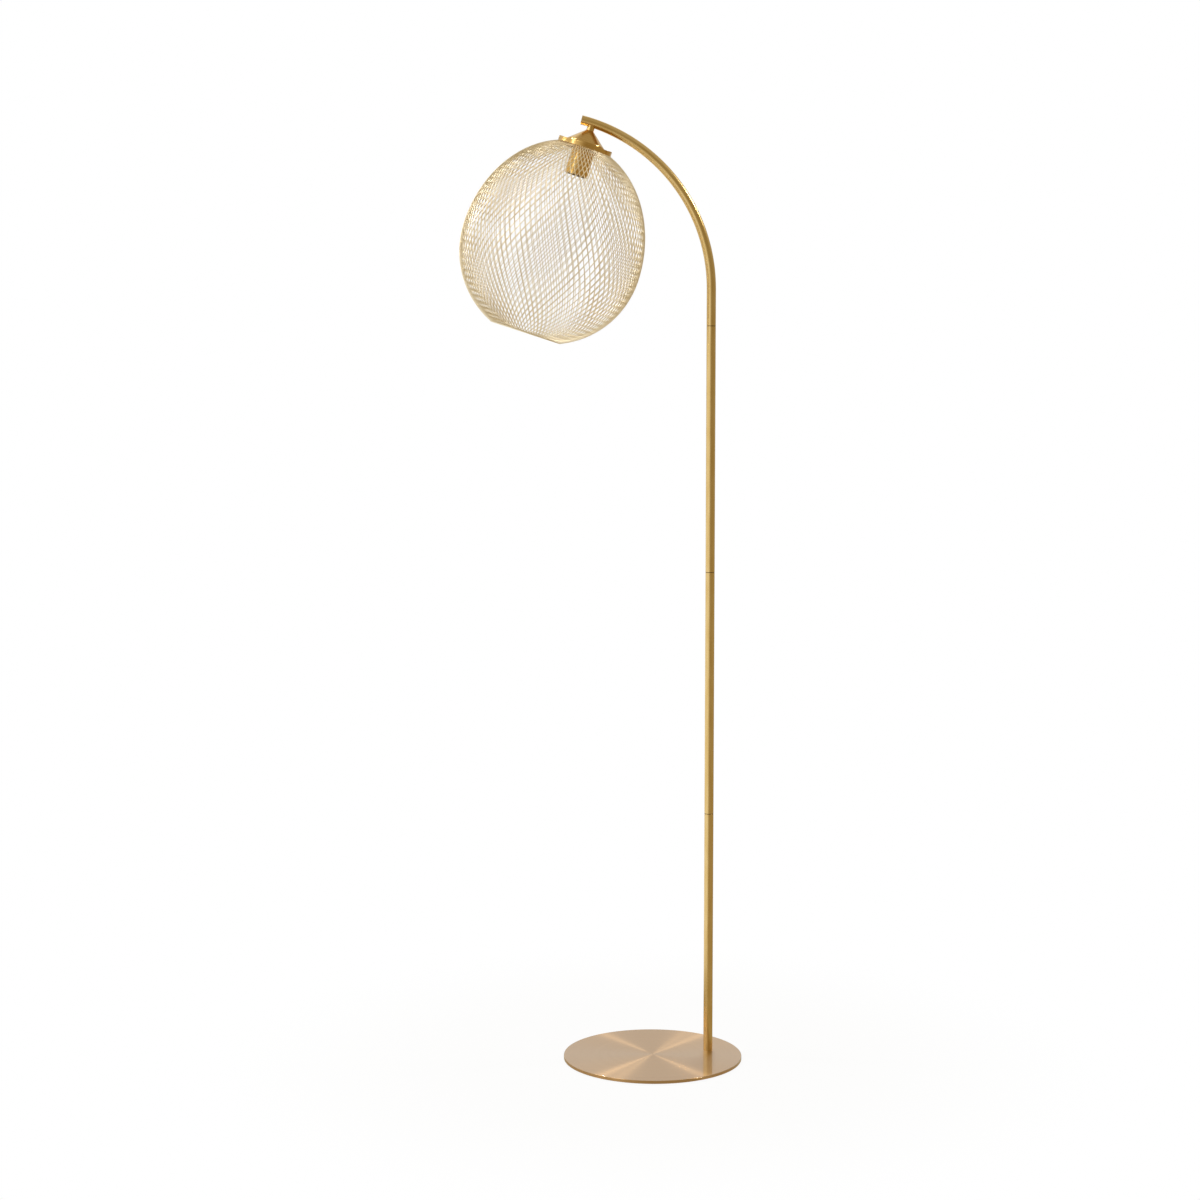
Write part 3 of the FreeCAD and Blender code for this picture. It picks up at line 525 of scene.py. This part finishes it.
FLOOR_RADIUS = 14.0
FLOOR_SIDES = 96
FLOOR_PAINT = (0.88, 0.88, 0.88, 1.0)
FLOOR_NEAR_GLOW = 0.92
SHADOW_FADES = (0.25, 0.8)
BRIGHT_FLOOR_BEGINS = (0.25, 0.6)

# Where a tone of the room begins and where it is full, or where it starts to fade and is gone.
# Bearings are in radians: 0 in front, plus to the right. Heights are the z of a direction.
LEFT_BEGINS = (-2.9, -2.1)
LEFT_FADES = (-0.75, 0.10)
LEFT_TOP = (0.25, 0.60)
BEHIND_BEGINS = (2.25, 2.75)
BEHIND_LIGHTENS = (0.30, 0.60)
BEHIND_TOP = (0.70, 0.95)
RIGHT_BEGINS = (1.0, 2.3)
CEILING_BEGINS = (0.35, 0.75)
BEHIND_LOW_TONE, BEHIND_HIGH_GAIN = 0.52, 0.48
RIGHT_TONE = 0.16
CEILING_TONE = 0.22


def studio_floor():
    """White floor with a soft shadow near the lamp, fading to plain white for the camera. Metal
    and glass see it in the room's tone, and white on the left where the room is bright."""
    nothing_selected()
    bpy.ops.mesh.primitive_circle_add(vertices=FLOOR_SIDES, radius=FLOOR_RADIUS, fill_type="NGON")
    floor = bpy.context.object
    floor.name = "studio_floor"
    f = new_finish("floor_white")
    x, y = f.split(f.object_place())[:2]
    distance = f.length(x, y)
    in_camera = f.light_path("Is Camera Ray")
    mirrored = f.larger(f.light_path("Is Glossy Ray"), f.light_path("Is Transmission Ray"))
    left = 1.0 - f.step(f.angle(x, 0.0 - y), *LEFT_FADES)
    tone = f.blend(left * f.step(distance, *BRIGHT_FLOOR_BEGINS), ROOM_FLOOR, WHITE)
    tone = f.blend(in_camera, tone, WHITE)
    plain = f.node("ShaderNodeEmission", sockets={"Color": tone, "Strength": 1.0})
    paint = f.node("ShaderNodeBsdfDiffuse", sockets={"Color": FLOOR_PAINT})
    glow = f.step(distance, *SHADOW_FADES) * (1.0 - FLOOR_NEAR_GLOW) + FLOOR_NEAR_GLOW
    share = f.larger(mirrored, in_camera * glow)
    mixed = f.node("ShaderNodeMixShader", sockets={0: share, 1: paint, 2: plain})
    f.node("ShaderNodeOutputMaterial", sockets={"Surface": mixed})
    floor.data.materials.append(f.owner)


def studio_world():
    """White for the camera. The lamp itself is lit by a room in a warm grey, with a bright side
    on the left, a paler backdrop behind, and a little more light on the right and above."""
    world = bpy.data.worlds.new("studio")
    bpy.context.scene.world = world
    f = Finish(world)
    x, y, z = f.split(f.node("ShaderNodeTexCoord", output="Generated"))
    bearing = f.angle(x, 0.0 - y)
    left = f.step(bearing, *LEFT_BEGINS) * (1.0 - f.step(bearing, *LEFT_FADES))
    left = left * (1.0 - f.step(z, *LEFT_TOP))
    behind_tone = BEHIND_LOW_TONE + f.step(z, *BEHIND_LIGHTENS) * BEHIND_HIGH_GAIN
    behind = f.step(abs(bearing), *BEHIND_BEGINS) * behind_tone
    behind = behind * (1.0 - f.step(z, *BEHIND_TOP))
    right = f.step(bearing, *RIGHT_BEGINS) * RIGHT_TONE
    above = f.step(z, *CEILING_BEGINS) * CEILING_TONE
    bright = f.larger(f.larger(f.larger(left, behind), right), above)
    tone = f.blend(bright, ROOM, WHITE)
    tone = f.blend(f.light_path("Is Camera Ray"), tone, WHITE)
    back = f.node("ShaderNodeBackground", sockets={"Color": tone, "Strength": 1.0})
    f.node("ShaderNodeOutputWorld", sockets={"Surface": back})


# ---------------------------------------------------------------- lights and camera

FOOT = (0.0, 0.0, 0.0)
CAMERA_PLACE = (-0.08720, -3.83583, 1.15004)
CAMERA_DIP_DEGREES = 5.761
FOCAL_LENGTH_MM = 71.119
SENSOR_WIDTH_MM = 36.0


def softbox(name, aim, direction, distance, size, power):
    """A square area lamp that looks at a point of the lamp."""
    light = bpy.data.lights.new(name, "AREA")
    light.size = size
    light.energy = power
    lamp = bpy.data.objects.new(name, light)
    way = Vector(direction).normalized()
    lamp.location = Vector(aim) + way * distance
    lamp.rotation_euler = way.to_track_quat("Z", "Y").to_euler()
    lamp.visible_camera = False
    bpy.context.scene.collection.objects.link(lamp)


def studio_camera():
    """Camera at the photograph's place, looking a little down."""
    lens = bpy.data.cameras.new("camera")
    lens.lens = FOCAL_LENGTH_MM
    lens.sensor_width = SENSOR_WIDTH_MM
    camera = bpy.data.objects.new("camera", lens)
    camera.location = CAMERA_PLACE
    camera.rotation_euler = (math.radians(90 - CAMERA_DIP_DEGREES), 0.0, 0.0)
    bpy.context.scene.collection.objects.link(camera)
    bpy.context.scene.camera = camera


studio_floor()
studio_world()
softbox("softbox_left", FOOT, (-0.59, 0.13, 0.80), distance=3.2, size=0.34, power=17.0)
softbox("softbox_right", FOOT, (0.59, 0.11, 0.80), distance=3.2, size=0.28, power=14.0)
softbox("softbox_above", FOOT, (-0.43, -0.05, 0.90), distance=3.2, size=0.55, power=10.0)
softbox("softbox_front", NECK, (-0.725, -0.605, 0.326), distance=6.0, size=0.70, power=11.0)
studio_camera()
bpy.context.scene.view_settings.view_transform = "Standard"
